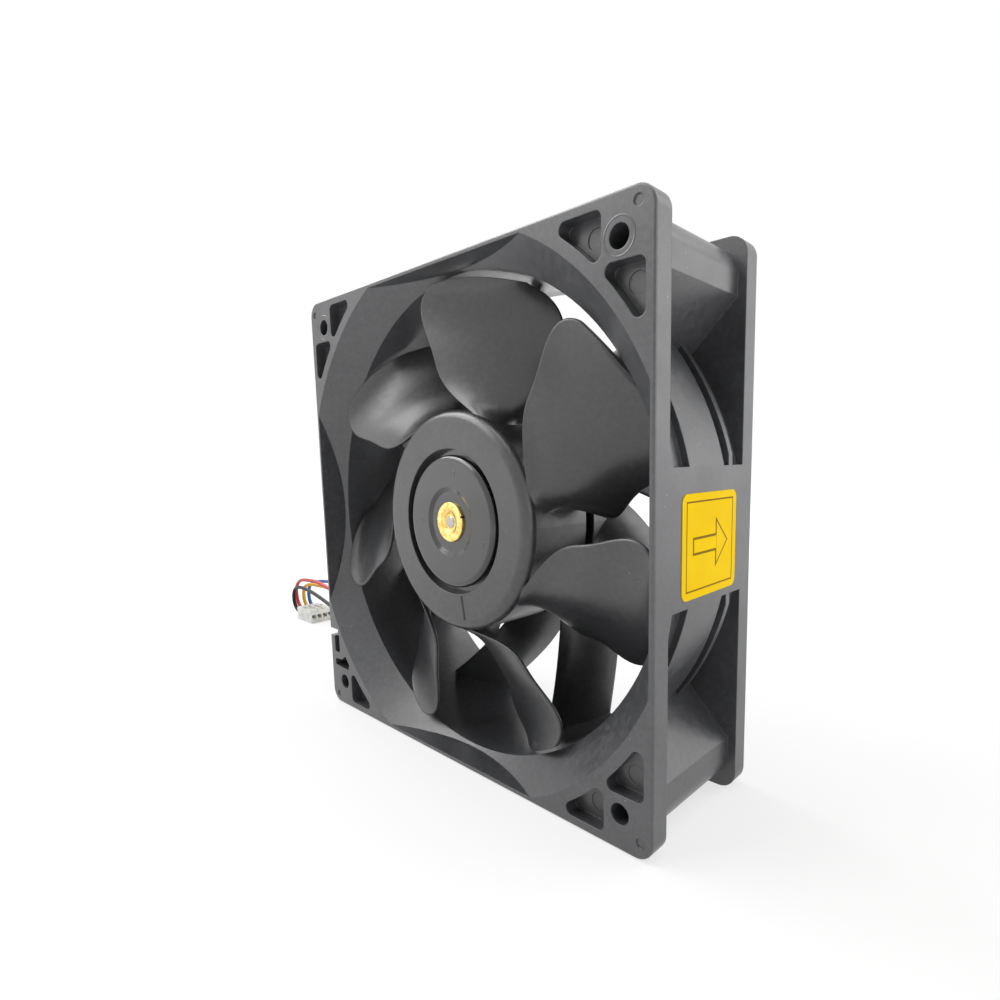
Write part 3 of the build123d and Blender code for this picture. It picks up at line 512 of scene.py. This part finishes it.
def yellow_sticker():
    """A bright satin film with a thin printed border and an arrow for the air flow."""
    m = Material("yellow_sticker", rough=0.42, specular=0.04)
    _, y, z = m.axes()
    u = m.math("SUBTRACT", y, STICKER_CENTRE[0])
    v = m.math("SUBTRACT", z, STICKER_CENTRE[1])
    ink = (0.13, 0.05, 0.012)
    base = (0.97, 0.62, 0.0)
    faded = (1.0, 0.67, 0.0)
    cloud = m.spread(m.noise(0.12, 3), 0.3, 0.7)
    au = m.math("ABSOLUTE", u)
    av = m.math("ABSOLUTE", v)
    edge = m.math(
        "MAXIMUM",
        m.math("SUBTRACT", au, STICKER_HALF[0] - BORDER_INSET),
        m.math("SUBTRACT", av, STICKER_HALF[1] - BORDER_INSET),
    )
    border = m.spread(m.math("ABSOLUTE", edge), *BORDER_LINE, 1, 0)
    shaft = m.math(
        "MAXIMUM",
        m.math("SUBTRACT", m.math("ABSOLUTE", m.math("SUBTRACT", u, SHAFT_MIDDLE)), SHAFT_HALF[0]),
        m.math("SUBTRACT", av, SHAFT_HALF[1]),
    )
    along = m.math("SUBTRACT", u, HEAD_FROM)
    width = m.math("SUBTRACT", HEAD_HALF_WIDTH, m.math("MULTIPLY", along, HEAD_SLOPE))
    head = m.math("MAXIMUM", m.math("MULTIPLY", along, -1.0), m.math("SUBTRACT", av, width))
    arrow = m.math("MINIMUM", shaft, head)
    outline = m.spread(m.math("ABSOLUTE", arrow), *ARROW_LINE, 1, 0)
    print_on = m.math("MAXIMUM", border, outline)
    m.color_from(m.mix(m.math("MULTIPLY", print_on, 0.85), m.mix(cloud, base, faded), ink))
    m.rough_from(m.spread(m.noise(0.3, 3), 0.3, 0.7, 0.3, 0.44))
    m.bump(m.noise(0.22, 3), 0.05, 0.5)
    m.bump(m.noise(2.4, 2), 0.008, 0.4)
    return m.material


FINISHES = {
    "frame_plastic": frame_plastic(),
    "impeller_plastic": impeller_plastic(),
    "black_steel": black_steel(),
    "ferrite": plastic("ferrite", (0.03, 0.03, 0.031), 0.6),
    "brass": boss_brass(),
    "shaft_steel": turned_metal(
        "shaft_steel", (0.50, 0.47, 0.45), 0.32, ring=SHAFT_RINGS, depth=0.006, stain=0.4,
    ),
    "bearing_steel": turned_metal(
        "bearing_steel", (0.7, 0.7, 0.72), 0.14, ring=BEARING_RINGS, depth=0.004, stain=0.1,
    ),
    "cage_plastic": plastic("cage_plastic", (0.55, 0.40, 0.2), 0.4),
    "lamination_steel": laminations(),
    "insulation": plastic("insulation", (0.7, 0.7, 0.66), 0.4),
    "copper_wire": copper_wire(),
    "tinned_metal": plain_metal("tinned_metal", (0.74, 0.74, 0.75), 0.26),
    "board": board(),
    "chip_plastic": plastic("chip_plastic", (0.02, 0.02, 0.021), 0.45),
    "capacitor_can": plain_metal("capacitor_can", (0.7, 0.7, 0.72), 0.32),
    "yellow_sticker": yellow_sticker(),
    "plug_nylon": plastic("plug_nylon", (0.78, 0.76, 0.70), 0.34, inside=0.15, coat=0.1),
    "black_lead": lead_insulation("black_lead", (0.006, 0.006, 0.0065), specular=0.25, coat=0.03),
    "red_lead": lead_insulation("red_lead", (0.56, 0.016, 0.012)),
    "yellow_lead": lead_insulation("yellow_lead", (0.80, 0.46, 0.012)),
    "blue_lead": lead_insulation("blue_lead", (0.012, 0.10, 0.50)),
}

SLOT_OF = {entry["node"]: entry["material_slot"] for entry in frame["record"]["subparts"]}
for node, obj in frame["nodes"].items():
    obj.data.materials.clear()
    obj.data.materials.append(FINISHES[SLOT_OF[node]])

for color, (length, points) in LEADS.items():
    lead = cord_curve(f"{color}_lead_wire", points, LEAD_DIAMETER / 2)
    lead.data.materials.append(FINISHES[f"{color}_lead"])
    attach(lead, "frame")
    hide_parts(f"{color}_lead")


# Light and surroundings
WHITE = (1.0, 1.0, 1.0)
AMBIENT = 0.04
FLOOR_Z = -0.0601
FLOOR_HALF = 4
FLOOR_GREY = (0.93, 0.93, 0.93)
FLOOR_SHADE = (0.30, 0.30, 0.30)
GLOW_FROM, GLOW_TO = 0.12, 0.34
SOFTBOX_SIZE = 0.6
# Name, azimuth from +X towards +Y, elevation, energy
SOFTBOXES = (
    ("left_high", 180, 45, 5.0),
    ("front_left_high", 225, 45, 4.0),
    ("front_left_low", 225, 8, 0.7),
    ("right_low", 0, 8, 2.6),
    ("right_high", 0, 45, 0.5),
    ("back_right_low", 45, 8, 1.7),
    ("back_right_high", 45, 45, 2.6),
    ("back_left_low", 135, 8, 0.8),
    ("top", 0, 89, 3.9),
)


def seen_rays(tree):
    """One for the rays that show a surface: camera, glossy and transmission rays."""
    path = tree.nodes.new("ShaderNodeLightPath")
    seen = path.outputs["Is Camera Ray"]
    for ray in ("Is Glossy Ray", "Is Transmission Ray"):
        either = tree.nodes.new("ShaderNodeMath")
        either.operation = "MAXIMUM"
        tree.links.new(seen, either.inputs[0])
        tree.links.new(path.outputs[ray], either.inputs[1])
        seen = either.outputs[0]
    return seen


def make_world():
    """White where it is seen. The lamps give nearly all of the light."""
    world = bpy.data.worlds.new("studio")
    bpy.context.scene.world = world
    world.use_nodes = True
    tree = world.node_tree
    background = tree.nodes["Background"]
    background.inputs["Color"].default_value = socket(WHITE)
    strength = tree.nodes.new("ShaderNodeMapRange")
    strength.inputs["To Min"].default_value = AMBIENT
    strength.inputs["To Max"].default_value = 1.0
    tree.links.new(seen_rays(tree), strength.inputs["Value"])
    tree.links.new(strength.outputs["Result"], background.inputs["Strength"])


def make_floor():
    """A white floor. Where it is seen it mostly glows, which keeps the shadow pale."""
    bm = bmesh.new()
    bmesh.ops.create_grid(bm, x_segments=1, y_segments=1, size=FLOOR_HALF)
    mesh = bpy.data.meshes.new("floor")
    bm.to_mesh(mesh)
    bm.free()
    floor = bpy.data.objects.new("floor", mesh)
    floor.location.z = FLOOR_Z
    bpy.context.collection.objects.link(floor)
    m = Material("floor", color=FLOOR_GREY, rough=0.6, specular=0.0)
    x, y, _ = m.axes()
    glow = m.new("ShaderNodeEmission")
    m.link(m.spread(m.distance(x, y), GLOW_FROM, GLOW_TO, 0.70, 1.0), glow.inputs["Strength"])
    shade = m.new("ShaderNodeBsdfDiffuse")
    shade.inputs["Color"].default_value = socket(FLOOR_SHADE)
    seen = m.new("ShaderNodeAddShader")
    m.link(glow.outputs[0], seen.inputs[0])
    m.link(shade.outputs[0], seen.inputs[1])
    pick = m.new("ShaderNodeMixShader")
    m.link(seen_rays(m.tree), pick.inputs[0])
    m.link(m.shader.outputs[0], pick.inputs[1])
    m.link(seen.outputs[0], pick.inputs[2])
    m.link(pick.outputs[0], m.tree.nodes["Material Output"].inputs["Surface"])
    floor.data.materials.append(m.material)


def softbox(name, azimuth, elevation, energy):
    """A square studio light that faces the fan from one metre away."""
    data = bpy.data.lights.new(name, "AREA")
    data.shape = "SQUARE"
    data.size = SOFTBOX_SIZE
    data.energy = energy
    obj = bpy.data.objects.new(name, data)
    around, up = math.radians(azimuth), math.radians(elevation)
    level = math.cos(up)
    obj.location = (math.cos(around) * level, math.sin(around) * level, math.sin(up))
    obj.rotation_euler = (-obj.location).to_track_quat("-Z", "Y").to_euler()
    bpy.context.collection.objects.link(obj)


make_world()
make_floor()
for box in SOFTBOXES:
    softbox(*box)
